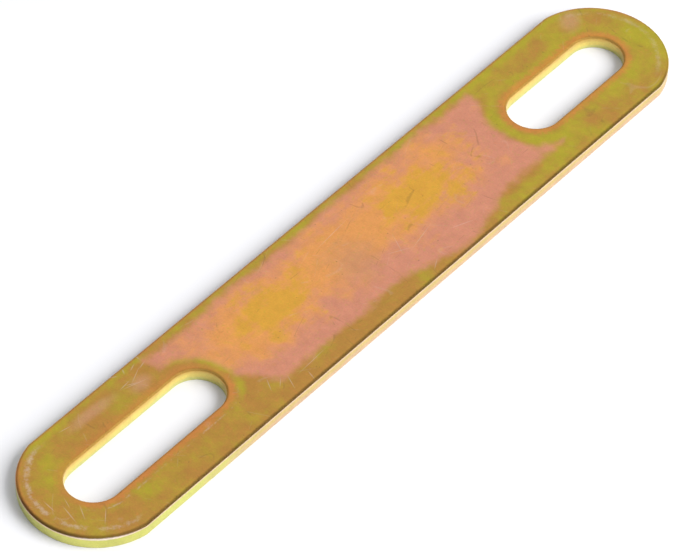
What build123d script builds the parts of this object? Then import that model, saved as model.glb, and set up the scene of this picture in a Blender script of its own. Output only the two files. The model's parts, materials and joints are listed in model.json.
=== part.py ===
from build123d import *
import os

# Slotted mending plate: one flat strip of steel, punched with a slot near each end and
# cropped to round ends. Millimetres, length along Y, width along X, thickness up Z.
# The origin is the middle of the underside. The long slot is at the -Y end.

# Strip
plate_length = 150.0
plate_width = 25.0
plate_thickness = 2.5

# Round ends: the cropping die is a little wider than the strip, so each end is an arc that
# meets the long edges at a faint corner instead of running into them smoothly
crop_die_oversize = 0.4

# Slots on the centreline, full round at both ends, for M8 or 5/16 in bolts
slot_width = 9.5
long_slot_length = 33.5
short_slot_length = 26.0
long_slot_end_margin = 7.2  # metal left between the slot and the -Y end of the plate
short_slot_end_margin = 7.5  # metal left between the slot and the +Y end of the plate

# Sheared edges: rolled over on the top, where the tools came in, and nearly sharp beneath
outline_roll_radius = 0.45
slot_roll_radius = 0.6
underside_edge_break = 0.12


def slit_strip():
    """Strip slit to width, running past both ends of the plate, with its long edges rolled."""
    strip = extrude(Rectangle(plate_width, plate_length + plate_width), amount=plate_thickness)
    strip = fillet(strip.edges().filter_by(Axis.Y).group_by(Axis.Z)[-1], outline_roll_radius)
    return chamfer(strip.edges().filter_by(Axis.Y).group_by(Axis.Z)[0], underside_edge_break)


def crop_shape():
    """What the cropping die leaves: a prism with round ends and rolled top edges."""
    die_width = plate_width + crop_die_oversize
    prism = extrude(SlotOverall(plate_length, die_width, rotation=90), amount=plate_thickness)
    prism = fillet(prism.edges().group_by(Axis.Z)[-1], outline_roll_radius)
    return chamfer(prism.edges().group_by(Axis.Z)[0], underside_edge_break)


def slot_punch(centre_y, length):
    """The slug of one slot, full round at both ends, on the centreline."""
    profile = Pos(0, centre_y) * SlotOverall(length, slot_width, rotation=90)
    return extrude(profile, amount=plate_thickness)


def slot_rims(face):
    """The edges of both slots on the plate's top or underside face."""
    return [edge for wire in face.inner_wires() for edge in wire.edges()]


def make_plate():
    """The cropped strip with its two slots, whose rims are rolled on top and broken beneath."""
    half_length = plate_length / 2
    long_slot_y = -half_length + long_slot_end_margin + long_slot_length / 2
    short_slot_y = half_length - short_slot_end_margin - short_slot_length / 2
    plate = slit_strip() & crop_shape()
    plate -= slot_punch(long_slot_y, long_slot_length)
    plate -= slot_punch(short_slot_y, short_slot_length)
    plate = fillet(slot_rims(plate.faces().sort_by(Axis.Z)[-1]), slot_roll_radius)
    return chamfer(slot_rims(plate.faces().sort_by(Axis.Z)[0]), underside_edge_break)


os.makedirs("parts", exist_ok=True)
export_step(make_plate(), "parts/plate.step")
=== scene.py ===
"""Slotted mending plate in yellow-chromated zinc: its finished mesh, its film of colours with painted
highlights and a painted dark reflection along the edges, the studio and the camera."""

import json
import math

import bmesh
import bpy
import numpy as np
from mathutils import Matrix, Vector


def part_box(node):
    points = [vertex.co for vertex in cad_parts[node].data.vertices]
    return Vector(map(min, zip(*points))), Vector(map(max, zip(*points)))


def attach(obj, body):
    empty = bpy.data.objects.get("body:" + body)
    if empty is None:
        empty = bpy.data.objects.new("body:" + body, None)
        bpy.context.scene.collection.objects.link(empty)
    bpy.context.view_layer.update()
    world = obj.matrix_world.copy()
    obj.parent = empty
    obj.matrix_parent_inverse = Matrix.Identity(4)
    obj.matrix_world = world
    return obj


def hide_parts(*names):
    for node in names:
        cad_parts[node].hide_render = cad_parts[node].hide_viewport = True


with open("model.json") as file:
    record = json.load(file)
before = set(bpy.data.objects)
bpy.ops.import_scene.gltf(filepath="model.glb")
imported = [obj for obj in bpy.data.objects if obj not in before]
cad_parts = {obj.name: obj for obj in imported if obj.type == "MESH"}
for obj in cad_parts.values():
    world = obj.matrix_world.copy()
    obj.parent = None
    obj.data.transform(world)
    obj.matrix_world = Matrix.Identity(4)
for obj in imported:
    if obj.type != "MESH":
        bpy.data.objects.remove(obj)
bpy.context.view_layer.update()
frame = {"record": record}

MM = 0.001

# ---------------------------------------------------------------- sizes, from the frame

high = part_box("plate")[1]
HALF_WIDTH = high[0]
HALF_LENGTH = high[1]
THICKNESS = high[2]
DIE_MARGIN = 0.2 * MM  # by which the die that crops the ends is wider than the strip, on each side
END_RADIUS = HALF_WIDTH + DIE_MARGIN
END_ARC_Y = HALF_LENGTH - END_RADIUS
MOUNTS = {mount["name"]: mount for mount in frame["record"]["mounts"]}


def slot_sizes(name):
    """Centre Y, half the straight part and radius of a slot, in metres."""
    mount = MOUNTS[name]
    radius = mount["dims"]["hole_r_mm"] * MM
    return mount["pos_m"][1], mount["dims"]["slot_length_mm"] * MM / 2 - radius, radius


LONG_SLOT = slot_sizes("long_slot")
SHORT_SLOT = slot_sizes("short_slot")

# Sheared edges. The roll is a quarter of an ellipse: (width along the face, depth down the wall).
OUTLINE_ROLL = (0.70 * MM, 0.45 * MM)
SLOT_ROLL = (0.60 * MM, 0.42 * MM)
UNDERSIDE_BREAK = 0.12 * MM

# Mesh density
RIM_ARC_POINTS = 26
LONG_SIDE_POINTS = 44
SHORT_SIDE_POINTS = 32
TIP_POINTS = 12
MIDDLE_POINTS = 130
FACE_ROWS = 22
ROLL_POINTS = 12
WALL_POINTS = 9
BREAK_POINTS = 4
CORNER_DRAW = 8  # power by which the sides' points are drawn to the faint corners
JOIN_DISTANCE = 1e-7


# ---------------------------------------------------------------- the plate's mesh


def slot_rim(slot, grow, side_points):
    """Right half of a slot's rim from its -Y tip to its +Y tip, as points (x, y): a quarter arc, a
    straight side and a quarter arc, at a distance of radius + grow from the slot's middle line."""
    centre, half_straight, radius = slot
    reach = radius + grow
    turn = np.linspace(0, math.pi / 2, RIM_ARC_POINTS)
    side = np.linspace(-half_straight, half_straight, side_points)[1:-1]
    x = np.concatenate([reach * np.sin(turn), np.full(side.size, reach), reach * np.cos(turn)])
    y = np.concatenate([-half_straight - reach * np.cos(turn), side, half_straight + reach * np.sin(turn)])
    return np.column_stack([x, centre + y])


def even_rim(slot, grow, side_points):
    """As many points as slot_rim has, with y running evenly along the arcs, so that lines ruled from
    the rim to the outline at these values of y never cross. Only y counts, and x is left at 0."""
    centre, half_straight, radius = slot
    reach = radius + grow
    share = np.linspace(0, 1, RIM_ARC_POINTS)
    side = np.linspace(-half_straight, half_straight, side_points)[1:-1]
    y = np.concatenate([-half_straight - reach * (1 - share), side, half_straight + reach * share])
    return np.column_stack([np.zeros(y.size), centre + y])


def centre_run(start, end, points):
    """Points of the plate's centreline strictly between two values of y."""
    y = np.linspace(start, end, points + 2)[1:-1]
    return np.column_stack([np.zeros(points), y])


def inner_chain(grow, tip_inset, rim=slot_rim):
    """Right half of the plate's inner border from the -Y tip to the +Y tip: the centreline, and the
    rim of each slot where the centreline would cross it."""
    long_rim = rim(LONG_SLOT, grow, LONG_SIDE_POINTS)
    short_rim = rim(SHORT_SLOT, grow, SHORT_SIDE_POINTS)
    tip = HALF_LENGTH - tip_inset
    return np.vstack([
        [[0.0, -tip]],
        centre_run(-tip, long_rim[0, 1], TIP_POINTS),
        long_rim,
        centre_run(long_rim[-1, 1], short_rim[0, 1], MIDDLE_POINTS),
        short_rim,
        centre_run(short_rim[-1, 1], tip, TIP_POINTS),
        [[0.0, tip]],
    ])


# Values of y from tip to tip, one for each line ruled from the inner border to the outline
STATIONS = inner_chain(SLOT_ROLL[0], 0.0, even_rim)[:, 1]


def outer_chain(inset):
    """Right half of the outline moved in by inset, with one point for each of STATIONS. A station
    between the slots' outermost arc centres lies on the straight side, level with its inner point
    except near the faint corner, to which it is drawn by the power CORNER_DRAW; beyond them it lies
    on the end arc, whose angle runs evenly from the corner to the tip."""
    side_x = HALF_WIDTH - inset
    radius = END_RADIUS - inset
    highlight_spot = math.acos(side_x / radius)
    corner_y = END_ARC_Y + radius * math.sin(highlight_spot)
    lower_limit = LONG_SLOT[1] - LONG_SLOT[0]
    upper_limit = SHORT_SLOT[1] + SHORT_SLOT[0]
    limit = np.where(STATIONS < 0, lower_limit, upper_limit)
    along = np.abs(STATIONS)
    share = np.clip((along - limit) / (HALF_LENGTH - limit), 0, 1)
    angle = highlight_spot + share * (math.pi / 2 - highlight_spot)
    on_side = along <= limit
    x = np.where(on_side, side_x, radius * np.cos(angle))
    level = along + (corner_y - limit) * (along / limit) ** CORNER_DRAW
    y = np.where(on_side, level, END_ARC_Y + radius * np.sin(angle))
    return np.column_stack([x, np.sign(STATIONS) * y])


def ruled_face(inner, outer, height):
    """Flat grid at one height between two chains: (1 - t) * inner + t * outer, t from 0 to 1."""
    share = np.linspace(0, 1, FACE_ROWS)[:, None, None]
    flat = (1 - share) * inner + share * outer
    return np.concatenate([flat, np.full(flat.shape[:2] + (1,), height)], axis=2)


def wall_profile(roll):
    """Section of a sheared wall from the top face down to the underside, as rows (inset, z). The
    roll is inset = a * (1 - sin t), z = thickness - b * (1 - cos t), t from 0 to a quarter turn; a
    straight wall follows, then a small round break and a first stretch of the underside."""
    across, down = roll
    turn = np.linspace(0, math.pi / 2, ROLL_POINTS)
    rolled = np.column_stack([across * (1 - np.sin(turn)), THICKNESS - down * (1 - np.cos(turn))])
    wall_z = np.linspace(THICKNESS - down, UNDERSIDE_BREAK, WALL_POINTS)[1:]
    wall = np.column_stack([np.zeros(wall_z.size), wall_z])
    turn = np.linspace(0, math.pi / 2, BREAK_POINTS)[1:]
    broken = np.column_stack([1 - np.cos(turn), 1 - np.sin(turn)]) * UNDERSIDE_BREAK
    underside = np.array([[2 * UNDERSIDE_BREAK, 0.0]])
    return np.vstack([rolled, wall, broken, underside])


def carried_profile(chain_at, profile):
    """Band of a profile carried along a chain: row j is chain_at(inset j) at the height z j."""
    rows = []
    for inset, height in profile:
        chain = chain_at(inset)
        rows.append(np.column_stack([chain, np.full(len(chain), height)]))
    return np.stack(rows)


def grid_faces(rows, columns, first, flip):
    """Quads of a rows x columns grid of vertices numbered from first, as an (n, 4) array."""
    start = first + np.arange(rows - 1)[:, None] * columns + np.arange(columns - 1)
    quads = np.stack([start, start + columns, start + columns + 1, start + 1], axis=-1).reshape(-1, 4)
    return quads[:, ::-1] if flip else quads


def plate_grids():
    """Right half of the plate as grids with whether each is to be turned over: the ruled top and
    underside, the outline's wall and the walls of both slots."""
    outline_profile = wall_profile(OUTLINE_ROLL)
    slot_profile = wall_profile(SLOT_ROLL)
    low_inset = outline_profile[-1, 0]
    top = ruled_face(inner_chain(SLOT_ROLL[0], OUTLINE_ROLL[0]), outer_chain(OUTLINE_ROLL[0]), THICKNESS)
    underside = ruled_face(inner_chain(low_inset, low_inset), outer_chain(low_inset), 0.0)
    grids = [(top, False), (underside, True), (carried_profile(outer_chain, outline_profile), False)]
    for slot, side_points in ((LONG_SLOT, LONG_SIDE_POINTS), (SHORT_SLOT, SHORT_SIDE_POINTS)):
        def rim_at(grow, slot=slot, side_points=side_points):
            return slot_rim(slot, grow, side_points)
        grids.append((carried_profile(rim_at, slot_profile), True))
    return grids


def make_plate():
    """The plate as one closed mesh: the right half's grids and their mirror images in the centre
    plane, joined where they meet."""
    points, faces, count = [], [], 0
    for grid, turned in plate_grids():
        rows, columns = grid.shape[:2]
        for side in (1, -1):
            points.append((grid * [side, 1, 1]).reshape(-1, 3))
            faces.append(grid_faces(rows, columns, count, turned != (side < 0)))
            count += rows * columns
    mesh = bpy.data.meshes.new("plate_finished")
    mesh.from_pydata(np.vstack(points), [], np.vstack(faces).tolist())
    join_doubles(mesh)
    mesh.shade_smooth()
    piece = bpy.data.objects.new("plate_finished", mesh)
    bpy.context.scene.collection.objects.link(piece)
    return piece


def join_doubles(mesh):
    """Merges the vertices of neighbouring grids, which lie at the same places."""
    shape = bmesh.new()
    shape.from_mesh(mesh)
    bmesh.ops.remove_doubles(shape, verts=shape.verts, dist=JOIN_DISTANCE)
    shape.to_mesh(mesh)
    shape.free()


# ---------------------------------------------------------------- node arithmetic


def srgb(red, green, blue):
    """Linear colour for a display colour given as three numbers up to 255."""
    values = np.array([red, green, blue]) / 255
    linear = np.where(values <= 0.04045, values / 12.92, ((values + 0.055) / 1.055) ** 2.4)
    return (*linear.tolist(), 1.0)


class Field:
    """A number that varies over the surface: one node output, with arithmetic that adds nodes."""

    def __init__(self, tree, socket):
        self.tree = tree
        self.socket = socket

    def wire(self, socket, value):
        """Feeds a socket from a field, or sets it to a number."""
        if isinstance(value, Field):
            self.tree.links.new(value.socket, socket)
        else:
            socket.default_value = value

    def math(self, operation, *values):
        """Field that a Math node makes from this one and the other values."""
        node = self.tree.nodes.new("ShaderNodeMath")
        node.operation = operation
        for socket, value in zip(node.inputs, (self, *values)):
            self.wire(socket, value)
        return Field(self.tree, node.outputs[0])

    def __add__(self, other):
        return self.math("ADD", other)

    def __sub__(self, other):
        return self.math("SUBTRACT", other)

    def __mul__(self, other):
        return self.math("MULTIPLY", other)

    def under(self, other):
        """How far this field lies under another: other - self."""
        return (self * -1.0) + other

    def least(self, other, soft=0.0):
        """Smaller of two, rounded over a distance of soft."""
        return self.math("SMOOTH_MIN", other, soft) if soft else self.math("MINIMUM", other)

    def most(self, other, soft=0.0):
        """Larger of two, rounded over a distance of soft."""
        return self.math("SMOOTH_MAX", other, soft) if soft else self.math("MAXIMUM", other)

    def step(self, start, end):
        """Smooth step from 0 at start to 1 at end."""
        node = self.tree.nodes.new("ShaderNodeMapRange")
        node.interpolation_type = "SMOOTHSTEP"
        self.wire(node.inputs["Value"], self)
        node.inputs["From Min"].default_value = start
        node.inputs["From Max"].default_value = end
        return Field(self.tree, node.outputs["Result"])

    def peak(self, centre, spread):
        """Bell of height 1 at centre, which falls to 0 at centre - spread and centre + spread."""
        return (self - centre).math("ABSOLUTE").step(spread, 0.0)


class Surface:
    """One material's nodes, with the object coordinates in millimetres as the fields x, y and z."""

    def __init__(self, name):
        self.material = bpy.data.materials.new(name)
        self.material.use_nodes = True
        self.tree = self.material.node_tree
        self.tree.nodes.clear()
        self.place = self.tree.nodes.new("ShaderNodeTexCoord").outputs["Object"]
        split = self.tree.nodes.new("ShaderNodeSeparateXYZ")
        self.tree.links.new(self.mapped(1.0), split.inputs[0])
        self.x, self.y, self.z = (Field(self.tree, output) for output in split.outputs)

    def mapped(self, size, turn=0.0, stretch=1.0, shift=0.0):
        """Coordinates in units of size (mm), turned about Z, and stretched along the turned Y."""
        node = self.tree.nodes.new("ShaderNodeMapping")
        node.vector_type = "TEXTURE"
        node.inputs["Location"].default_value = (shift * MM, -shift * MM, shift * MM)
        node.inputs["Rotation"].default_value[2] = math.radians(turn)
        node.inputs["Scale"].default_value = (size * MM, size * stretch * MM, size * MM)
        self.tree.links.new(self.place, node.inputs["Vector"])
        return node.outputs[0]

    def noise(self, size, shift, detail=2.0, rough=0.5, turn=0.0, stretch=1.0, swirl=0.0):
        """Cloudy field with features of about size mm, mostly within 0.3 to 0.7."""
        node = self.tree.nodes.new("ShaderNodeTexNoise")
        self.tree.links.new(self.mapped(size, turn, stretch, shift), node.inputs["Vector"])
        node.inputs["Scale"].default_value = 1.0
        node.inputs["Detail"].default_value = detail
        node.inputs["Roughness"].default_value = rough
        node.inputs["Distortion"].default_value = swirl
        return Field(self.tree, node.outputs[0])

    def specks(self, size, shift):
        """Distance to the nearest of scattered points, in units of size."""
        node = self.tree.nodes.new("ShaderNodeTexVoronoi")
        self.tree.links.new(self.mapped(size, shift=shift), node.inputs["Vector"])
        node.inputs["Scale"].default_value = 1.0
        return Field(self.tree, node.outputs["Distance"])

    def spot(self, x, y, reach_x, reach_y, turn=0.0):
        """1 in the middle of a soft ellipse, falling to 0 at its rim. Places and reaches are in mm."""
        node = self.tree.nodes.new("ShaderNodeMapping")
        node.vector_type = "TEXTURE"
        node.inputs["Location"].default_value = (x * MM, y * MM, 0)
        node.inputs["Rotation"].default_value[2] = math.radians(turn)
        node.inputs["Scale"].default_value = (reach_x * MM, reach_y * MM, 1.0)
        self.tree.links.new(self.place, node.inputs["Vector"])
        length = self.tree.nodes.new("ShaderNodeVectorMath")
        length.operation = "LENGTH"
        self.tree.links.new(node.outputs[0], length.inputs[0])
        return Field(self.tree, length.outputs["Value"]).step(1.0, 0.0)

    def capsule(self, centre_y, half_straight, radius):
        """Distance in mm from the rim of a full-round slot on the centreline, positive outside."""
        beyond = ((self.y - centre_y).math("ABSOLUTE") - half_straight).most(0.0)
        return (self.x * self.x + beyond * beyond).math("SQRT") - radius

    def mix(self, factor, first, second):
        """Colour that goes from first to second as factor goes from 0 to 1."""
        node = self.tree.nodes.new("ShaderNodeMix")
        node.data_type = "RGBA"
        for socket, value in ((node.inputs[0], factor), (node.inputs[6], first), (node.inputs[7], second)):
            if isinstance(value, Field):
                self.tree.links.new(value.socket, socket)
            elif isinstance(value, bpy.types.NodeSocket):
                self.tree.links.new(value, socket)
            else:
                socket.default_value = value
        return node.outputs[2]

    def shaded(self, colour, strength):
        """The colour times a field."""
        node = self.tree.nodes.new("ShaderNodeVectorMath")
        node.operation = "SCALE"
        self.tree.links.new(colour, node.inputs[0])
        self.tree.links.new(strength.socket, node.inputs["Scale"])
        return node.outputs[0]


# ---------------------------------------------------------------- the chromate film, with painted highlights and a painted dark reflection

# On the flat top
OLIVE = srgb(180, 166, 42)
OCHRE = srgb(184, 134, 58)
TAN_PINK = srgb(206, 152, 116)
PINK = srgb(215, 143, 113)
ORANGE = srgb(234, 160, 82)
GOLD = srgb(222, 166, 54)
RUST = srgb(186, 126, 62)
DULL_SALMON = srgb(204, 144, 104)
RIM_ORANGE = srgb(218, 130, 66)
# Painted dark reflection: the dark line along the edge's roll on the sides that face the camera
PAINTED_DARK_REFLECTION = srgb(78, 63, 34)
SCUFF = srgb(226, 206, 190)
SPECK = srgb(120, 92, 50)
# On the outline's sheared wall
# Painted highlight: a pale line along the top of the outline's wall
PAINTED_WALL_HIGHLIGHT = srgb(238, 208, 180)
# Painted highlight: a bright spot at the top of the wall near the corner of the -Y end on the +X side,
# where the key lamp is mirrored
PAINTED_CORNER_HIGHLIGHT = srgb(255, 240, 228)
WALL_YELLOW = srgb(221, 194, 118)
WALL_PEACH = srgb(224, 189, 148)
WALL_GREEN = srgb(216, 219, 112)
# On the slots' walls, from the top down
SLOT_EDGE = srgb(208, 166, 82)
SLOT_HIGH = srgb(216, 180, 92)
SLOT_MIDDLE = srgb(228, 206, 112)
SLOT_LOW = srgb(208, 206, 128)

METALLIC = 0.6
ROUGHNESS = 0.34
ROUGHNESS_SPREAD = 0.16
BUMP_STRENGTH = 0.25
BUMP_DEPTH = 0.03 * MM

# Depths below the top face, in mm, between which the face's film gives way to the wall's
WALL_START = (0.36, 0.46)

# Soft patches on the face, as (x, y, reach_x, reach_y, turn), in mm and degrees
GOLD_PATCHES = ((-3.0, -17.0, 8.0, 14.0, 8), (-1.5, 18.0, 8.0, 16.0, -14))
PINK_PATCHES = ((-9.4, -53.5, 2.4, 9.0, 0), (-7.8, -43.4, 3.0, 4.2, 10), (-8.6, 66.6, 3.6, 5.0, 30))
OLIVE_PATCHES = (
    (-5.4, -66.5, 4.2, 8.0, 0), (7.8, -58.8, 3.0, 4.2, 0), (0.0, -31.6, 5.5, 2.4, 30),
    (10.8, 35.0, 2.8, 15.0, 0), (9.8, -20.0, 2.4, 8.0, 0), (3.0, 71.5, 9.0, 3.6, 0),
)
OCHRE_PATCHES = (
    (10.0, 60.0, 3.4, 5.0, 0), (-8.6, 54.0, 2.6, 8.0, 0), (8.4, 50.5, 2.4, 6.0, 0),
    (11.0, -16.0, 3.4, 26.0, 0),
)
# Single short scratches, in the same terms
STROKES = (
    (2.2, -71.0, 0.16, 2.6, 74), (3.4, -69.4, 0.14, 2.0, 58), (-1.2, -71.9, 0.15, 1.8, 82),
    (6.6, -67.6, 0.13, 2.4, 40), (0.4, -69.6, 0.10, 1.5, 66), (4.9, 10.6, 0.10, 4.6, 12),
    (8.1, 17.2, 0.12, 3.2, -22), (-1.4, -37.8, 0.10, 4.2, 35), (-8.4, -44.4, 0.12, 3.0, -18),
    (-9.6, -42.8, 0.10, 2.6, 24), (3.0, 6.8, 0.09, 3.2, 62), (4.2, 5.6, 0.09, 3.4, -28),
    (-6.4, 1.4, 0.09, 6.0, 5), (-10.2, -58.6, 0.12, 1.6, -12), (9.4, -22.0, 0.09, 5.0, 3),
    (-11.6, -43.5, 0.20, 0.9, 60), (-11.1, -41.9, 0.16, 1.1, 20), (-9.4, -45.6, 0.16, 1.6, 5),
    (-8.8, -44.7, 0.14, 1.3, -28), (-12.0, -39.8, 0.22, 0.8, 80), (-10.3, -40.5, 0.15, 1.2, 14),
    (-11.9, -45.4, 0.18, 0.9, -35), (7.6, -30.4, 0.12, 1.8, 58), (9.8, -27.6, 0.12, 2.2, 64),
    (8.6, -28.8, 0.10, 1.6, 38), (11.3, -24.4, 0.14, 1.4, 72), (10.6, 7.4, 0.12, 1.8, 30),
)


def add_all(fields):
    """Sum of several fields."""
    fields = list(fields)
    total = fields[0]
    for field in fields[1:]:
        total = total + field
    return total


def film_on_face(s, edge, rim, long_rim, short_rim):
    """Colours of the flat top: olive and ochre ends, and a rose middle with an orange and gold core."""
    x, y = s.x, s.y
    wander = (s.noise(7.0, 11.0, detail=3.0) - 0.5) * 2.7 + (s.noise(1.6, 23.0, detail=3.0) - 0.5) * 1.6
    mottle = s.noise(4.6, 41.0, detail=6.0, rough=0.62, swirl=0.4) - 0.5
    cloud = s.noise(6.0, 57.0, detail=6.0, rough=0.6, swirl=0.3) - 0.5
    streak = s.noise(1.3, 61.0, detail=4.0, rough=0.6, stretch=9.0) - 0.5

    left = ((y + 34.3 - x * 0.74) * 0.8).least(y + 39.8, 0.8)
    tongue = (x - 7.0).peak(0.0, 3.2) * (y - 42.0).step(-8.0, 2.0)
    right = y.under(41.2) + tongue * 4.5
    upper = x + 10.8
    lower = x.under(8.7) + (y - 14.5).peak(0.0, 15.0) * 3.0
    depth = left.least(right, 1.5).least(upper, 0.6).least(lower, 1.0)
    depth = depth.least(long_rim - 2.2, 1.0).least(short_rim - 3.9, 1.0) + wander
    rose = depth.step(-0.9, 1.3)

    core = (x + 2.9).math("ABSOLUTE").under(8.0).least((y + 3.0).math("ABSOLUTE").under(35.0) * 0.55, 3.0)
    orange = (core * 0.22 + mottle * 2.8 + cloud * 1.4 + streak * 1.0).step(-0.35, 1.25)
    gold_area = add_all(s.spot(*patch) for patch in GOLD_PATCHES)
    gold = (gold_area * 1.4 + mottle * 3.0 - cloud * 1.6 + streak * 1.4).step(0.25, 1.15)

    olive_area = add_all(s.spot(*patch) for patch in OLIVE_PATCHES)
    ochre_area = add_all(s.spot(*patch) for patch in OCHRE_PATCHES)
    near_tips = (long_rim.peak(2.4, 1.5) * (y + 40.0).step(0.0, 6.0)
                 + short_rim.peak(2.6, 1.8) * (y - 48.0).step(0.0, -6.0))
    upper_side = (x + 12.5).step(2.2, 0.9)
    olive_level = (cloud * 3.2 + mottle * 2.4 + (y - 41.0).step(-6.0, 6.0) * 0.62 + upper_side * 0.6
                   + near_tips * 0.9 + olive_area * 0.9 - ochre_area * 0.7)
    olive = olive_level.step(-0.45, 1.35)
    rust = (mottle * 3.4 - cloud * 2.6 - (y - 20.0).step(0.0, 30.0) * 0.35).step(0.25, 1.2)
    pink_area = add_all(s.spot(*patch) for patch in PINK_PATCHES) + cloud * 0.8 + mottle * 0.6

    face = s.mix(olive, OCHRE, OLIVE)
    face = s.mix(rust * 0.45, face, RUST)
    face = s.mix(pink_area.step(0.15, 1.05) * 0.62, face, TAN_PINK)
    face = s.mix(rose, face, PINK)
    face = s.mix(orange * rose * 0.88, face, ORANGE)
    face = s.mix(gold * rose * 0.9, face, GOLD)
    dull = (s.spot(0.5, -1.0, 9.5, 9.0) * 1.2 + mottle * 1.6 + streak * 1.2).step(0.2, 1.3)
    face = s.mix(dull * rose * 0.7, face, DULL_SALMON)

    tint = s.noise(0.55, 67.0, detail=4.0, rough=0.7) - 0.5
    face = s.mix(tint.step(0.03, 0.22) * 0.30, face, OLIVE)
    face = s.mix(tint.step(-0.03, -0.22) * 0.26, face, RIM_ORANGE)

    grain = s.noise(0.7, 71.0, detail=4.0, rough=0.6) - 0.5
    everywhere = (y - 30.0).step(0.0, 5.0) * 0.3 + 0.28
    slot_red = (rim + grain * 2.2).step(1.9, 0.6) * (x.step(-2.0, 4.0) * 0.6).most(everywhere)
    face = s.mix(slot_red, face, RIM_ORANGE)
    thin_rim = (edge + grain * 0.9).step(0.9, 0.3)
    return s.mix(thin_rim * x.step(5.0, -5.0) * 0.45, face, RIM_ORANGE)


def hairlines(s, size, shift, turn):
    """Thin, nearly straight lines along one direction, broken into short stretches."""
    swell = s.noise(size, shift, detail=0.0, turn=turn, stretch=4.5) - 0.5
    line = swell.math("ABSOLUTE").step(0.008, 0.001)
    return line * (s.noise(2.6, shift + 5.0, detail=4.0) - 0.5).step(0.03, 0.12)


def worn(s, face, edge, long_rim):
    """Rubs that follow the ends, short strokes, fine curved hairlines and dark specks."""
    x, y = s.x, s.y
    patchy = (s.noise(2.2, 131.0, detail=4.0, rough=0.7) - 0.5) * 5.0
    grain = (s.noise(0.35, 137.0, detail=3.0) - 0.5) * 2.0
    ends = (y + 62.0).step(0.0, -5.0) + (y - 64.0).step(0.0, 6.0) * 0.45
    rub = (edge + grain * 0.5).peak(1.75, 0.7) * ends * (patchy + 0.5).step(0.0, 1.2)
    beside_slot = ((long_rim + grain * 0.2).peak(1.8, 0.28) * x.step(1.0, 4.0)
                   * (patchy + 0.1).step(0.0, 1.2) * 0.35)
    strokes = add_all(s.spot(*stroke) for stroke in STROKES) * (patchy * 0.4 + 0.8).step(0.0, 0.7)
    pale_hairs = hairlines(s, 6.0, 157.0, turn=35) + hairlines(s, 7.0, 149.0, turn=-50)
    dark_hairs = hairlines(s, 5.0, 179.0, turn=12) + hairlines(s, 6.0, 191.0, turn=78)
    pale = (rub * 0.42 + beside_slot + strokes * 0.34 + pale_hairs * 0.09).least(0.8)
    face = s.mix(pale, face, SCUFF)
    specks = s.specks(1.3, 167.0).step(0.13, 0.05) * (s.noise(3.0, 173.0) - 0.5).step(0.0, 0.12)
    return s.mix((specks * 0.45 + dark_hairs * 0.28).least(0.6), face, SPECK)


def film_on_walls(s, rim, depth):
    """Colours of the sheared walls by depth below the top face. The outline's goes from a painted
    highlight line to yellow and peach, with green towards its -Y end and painted shade towards its +X
    side; the slots' go from ochre to yellow-green."""
    cloud = s.noise(2.6, 83.0, detail=4.0) - 0.5
    level = depth + cloud * 1.3
    wall = s.mix(level.step(1.1, 2.1), WALL_YELLOW, WALL_PEACH)
    wall = s.mix((s.y + cloud * 14.0 + 34.0).step(0.0, -22.0) * 0.85, wall, WALL_GREEN)
    # Painted highlight: a pale line along the top of the outline's wall
    wall = s.mix(depth.step(0.85, 0.45), wall, PAINTED_WALL_HIGHLIGHT)
    # Painted shade: the outline's wall darkened towards its +X side, where the key lamp falls on it
    wall = s.shaded(wall, s.x.step(6.0, 12.2) * -0.13 + 1.0)
    slot_wall = s.mix(level.step(0.4, 1.2), SLOT_HIGH, SLOT_MIDDLE)
    slot_wall = s.mix(level.step(1.4, 2.3), slot_wall, SLOT_LOW)
    return s.mix(rim.step(1.4, 1.0), wall, slot_wall)


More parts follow.
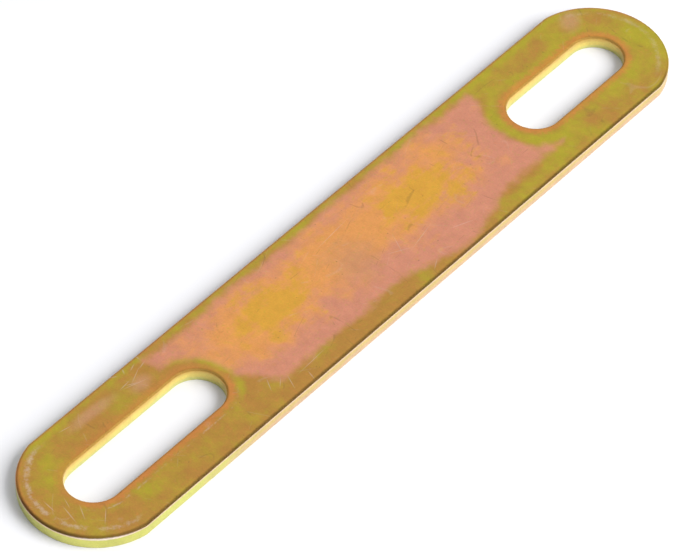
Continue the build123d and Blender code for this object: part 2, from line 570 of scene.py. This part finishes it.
def chromated_zinc():
    """Yellow chromate over zinc: bands of film colour that follow the edges and slots on the face,
    pale yellow on the sheared walls, with rubs, hairlines and specks, a painted dark reflection along
    the edge's roll and painted highlights on the top of the walls."""
    s = Surface("yellow_chromate")
    side = s.x.math("ABSOLUTE").under(HALF_WIDTH / MM)
    beyond = (s.y.math("ABSOLUTE") - END_ARC_Y / MM).most(0.0)
    end = (s.x * s.x + beyond * beyond).math("SQRT").under(END_RADIUS / MM)
    edge = side.least(end)
    long_rim = s.capsule(*(value / MM for value in LONG_SLOT))
    short_rim = s.capsule(*(value / MM for value in SHORT_SLOT))
    rim = long_rim.least(short_rim)
    depth = s.z.under(THICKNESS / MM)

    face = worn(s, film_on_face(s, edge, rim, long_rim, short_rim), edge, long_rim)
    on_wall = depth.step(*WALL_START)
    colour = s.mix(on_wall, face, film_on_walls(s, rim, depth))
    # Painted dark reflection: a dark line on the roll of the outline's edge, only on the sides that face
    # the camera, broken up by noise
    tip = (s.y - END_ARC_Y / MM).most(0.0) + (s.y + END_ARC_Y / MM).least(0.0)
    toward_camera = (s.x * 0.63 - tip * 0.78).step(0.5, 7.0)
    line_breakup = s.noise(0.8, 89.0, detail=4.0, rough=0.7) - 0.5
    dark_reflection = (edge + line_breakup * 0.5).step(0.58, 0.08) * (depth + line_breakup * 0.25).step(*WALL_START[::-1]) * toward_camera
    slot_edge = rim.step(0.8, 0.5) * depth.step(0.02, 0.16) * depth.step(*WALL_START[::-1])
    colour = s.mix(slot_edge * 0.8, colour, SLOT_EDGE)
    # Painted highlight near the -Y end's +X corner, where the painted dark line is also weakened
    highlight_spot = s.spot(8.6, -70.4, 5.6, 7.5, -20)
    colour = s.mix(dark_reflection * (line_breakup * 0.9 + 0.74) * (highlight_spot * -0.45 + 1.0), colour, PAINTED_DARK_REFLECTION)
    colour = s.mix((depth + line_breakup * 0.3).peak(0.50, 0.34) * highlight_spot * 0.9, colour, PAINTED_CORNER_HIGHLIGHT)

    mottled = s.noise(2.2, 97.0, detail=6.0, rough=0.62) * 0.38 + 0.825
    fine = (s.noise(0.3, 103.0, detail=2.0) - 0.5) * 0.24
    colour = s.shaded(colour, mottled + fine)

    shader = s.tree.nodes.new("ShaderNodeBsdfPrincipled")
    s.tree.links.new(colour, shader.inputs["Base Color"])
    shader.inputs["Metallic"].default_value = METALLIC
    rough = (s.noise(1.2, 101.0, detail=3.0) - 0.5) * ROUGHNESS_SPREAD + ROUGHNESS
    s.tree.links.new(rough.socket, shader.inputs["Roughness"])
    bump = s.tree.nodes.new("ShaderNodeBump")
    bump.inputs["Strength"].default_value = BUMP_STRENGTH
    bump.inputs["Distance"].default_value = BUMP_DEPTH
    height = s.noise(0.45, 113.0, detail=3.0) + s.noise(3.0, 127.0, detail=2.0) * 2.0
    s.tree.links.new(height.socket, bump.inputs["Height"])
    s.tree.links.new(bump.outputs[0], shader.inputs["Normal"])
    out = s.tree.nodes.new("ShaderNodeOutputMaterial")
    s.tree.links.new(shader.outputs[0], out.inputs["Surface"])
    return s.material


# ---------------------------------------------------------------- studio

FLOOR_REACH = 3.0
FLOOR_DROP = 0.02 * MM  # keeps the floor clear of the underside
FLOOR_WHITE = (0.80, 0.80, 0.81, 1.0)
FLOOR_LIFT = 0.08

# The room's light: (start, end, value at start, value at end)
ROOM_BY_HEIGHT = (0.20, 0.60, 0.10, 0.31)
WINDOW_BY_NEARNESS = (0.70, 0.96, 0.0, 0.55)
WINDOW_DIRECTION = (-0.44, 0.54, 0.72)
ROOM_TINT = (0.97, 0.98, 1.05, 1)

# Where the camera stands, in degrees from -Y and up, and how it is turned about its own line of sight
CAMERA_AZIMUTH = 39.11
CAMERA_ELEVATION = 46.52
CAMERA_ROLL = 1.652
CAMERA_DISTANCE = 0.7602
CAMERA_AIM = (1.16 * MM, -2.95 * MM, THICKNESS / 2)
FOCAL_LENGTH = 241.3
SENSOR_WIDTH = 36.0


def make_floor():
    """White floor: a pale diffuse surface that keeps the plate's shadow, lifted to plain white where
    the camera or a shiny face sees it."""
    square = ((-1, -1), (1, -1), (1, 1), (-1, 1))
    corners = [(x * FLOOR_REACH, y * FLOOR_REACH, -FLOOR_DROP) for x, y in square]
    mesh = bpy.data.meshes.new("floor")
    mesh.from_pydata(corners, [], [(0, 1, 2, 3)])
    floor = bpy.data.objects.new("floor", mesh)
    bpy.context.scene.collection.objects.link(floor)
    material = bpy.data.materials.new("white_floor")
    material.use_nodes = True
    nodes, links = material.node_tree.nodes, material.node_tree.links
    nodes.clear()
    diffuse = nodes.new("ShaderNodeBsdfDiffuse")
    diffuse.inputs["Color"].default_value = FLOOR_WHITE
    lift = nodes.new("ShaderNodeEmission")
    path = nodes.new("ShaderNodeLightPath")
    seen = nodes.new("ShaderNodeMath")
    seen.operation = "MAXIMUM"
    links.new(path.outputs["Is Camera Ray"], seen.inputs[0])
    links.new(path.outputs["Is Glossy Ray"], seen.inputs[1])
    strength = nodes.new("ShaderNodeMath")
    strength.operation = "MULTIPLY"
    strength.inputs[1].default_value = FLOOR_LIFT
    links.new(seen.outputs[0], strength.inputs[0])
    links.new(strength.outputs[0], lift.inputs["Strength"])
    both = nodes.new("ShaderNodeAddShader")
    links.new(diffuse.outputs[0], both.inputs[0])
    links.new(lift.outputs[0], both.inputs[1])
    out = nodes.new("ShaderNodeOutputMaterial")
    links.new(both.outputs[0], out.inputs["Surface"])
    mesh.materials.append(material)


def make_world():
    """Soft white room: dark at the horizon, grey overhead, and a wide bright window behind the plate
    on its far left, which the flat top mirrors. The camera itself sees plain white."""
    world = bpy.data.worlds.new("studio")
    bpy.context.scene.world = world
    world.use_nodes = True
    nodes, links = world.node_tree.nodes, world.node_tree.links
    nodes.clear()

    def ramp(socket, start, end, first, last):
        """Smooth step from the value first at start to the value last at end."""
        node = nodes.new("ShaderNodeMapRange")
        node.interpolation_type = "SMOOTHSTEP"
        links.new(socket, node.inputs["Value"])
        for name, value in (("From Min", start), ("From Max", end), ("To Min", first), ("To Max", last)):
            node.inputs[name].default_value = value
        return node.outputs["Result"]

    direction = nodes.new("ShaderNodeTexCoord").outputs["Generated"]
    split = nodes.new("ShaderNodeSeparateXYZ")
    links.new(direction, split.inputs[0])
    toward_window = nodes.new("ShaderNodeVectorMath")
    toward_window.operation = "DOT_PRODUCT"
    toward_window.inputs[1].default_value = WINDOW_DIRECTION
    links.new(direction, toward_window.inputs[0])
    level = nodes.new("ShaderNodeMath")
    level.operation = "ADD"
    links.new(ramp(split.outputs["Z"], *ROOM_BY_HEIGHT), level.inputs[0])
    links.new(ramp(toward_window.outputs["Value"], *WINDOW_BY_NEARNESS), level.inputs[1])
    room = nodes.new("ShaderNodeBackground")
    room.inputs["Color"].default_value = ROOM_TINT
    links.new(level.outputs[0], room.inputs["Strength"])
    white = nodes.new("ShaderNodeBackground")
    white.inputs["Color"].default_value = (1, 1, 1, 1)
    path = nodes.new("ShaderNodeLightPath")
    choice = nodes.new("ShaderNodeMixShader")
    links.new(path.outputs["Is Camera Ray"], choice.inputs[0])
    links.new(room.outputs[0], choice.inputs[1])
    links.new(white.outputs[0], choice.inputs[2])
    out = nodes.new("ShaderNodeOutputWorld")
    links.new(choice.outputs[0], out.inputs["Surface"])


def add_softbox(name, azimuth, elevation, distance, size, power):
    """Square lamp that looks at the plate from a direction, and isn't mirrored in it: azimuth 0 is from
    -Y, 90 from +X."""
    lamp = bpy.data.lights.new(name, "AREA")
    lamp.shape = "SQUARE"
    lamp.size = size
    lamp.energy = power
    box = bpy.data.objects.new(name, lamp)
    across, up = math.radians(azimuth), math.radians(elevation)
    place = Vector((math.sin(across) * math.cos(up), -math.cos(across) * math.cos(up), math.sin(up)))
    box.location = place * distance
    box.rotation_euler = place.to_track_quat("Z", "Y").to_euler()
    box.visible_glossy = False
    bpy.context.scene.collection.objects.link(box)


def add_camera():
    """Long lens above the +X side, with the plate's length running up to the right."""
    azimuth, elevation = math.radians(CAMERA_AZIMUTH), math.radians(CAMERA_ELEVATION)
    level = math.cos(elevation)
    back = Vector((math.sin(azimuth) * level, -math.cos(azimuth) * level, math.sin(elevation)))
    right = Vector((0, 0, 1)).cross(back).normalized()
    axes = Matrix((right, back.cross(right), back)).transposed()
    lens = bpy.data.cameras.new("camera")
    lens.lens = FOCAL_LENGTH
    lens.sensor_width = SENSOR_WIDTH
    lens.clip_start = 0.01
    camera = bpy.data.objects.new("camera", lens)
    turned = axes @ Matrix.Rotation(math.radians(CAMERA_ROLL), 3, "Z")
    place = Vector(CAMERA_AIM) + back * CAMERA_DISTANCE
    camera.matrix_world = Matrix.Translation(place) @ turned.to_4x4()
    bpy.context.scene.collection.objects.link(camera)
    bpy.context.scene.camera = camera


# ---------------------------------------------------------------- the scene

plate = make_plate()
plate.data.materials.append(chromated_zinc())
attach(plate, "root")
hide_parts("plate")

make_floor()
make_world()
add_softbox("key", azimuth=110, elevation=36, distance=1.2, size=1.0, power=26)
add_camera()
bpy.context.scene.view_settings.view_transform = "Standard"
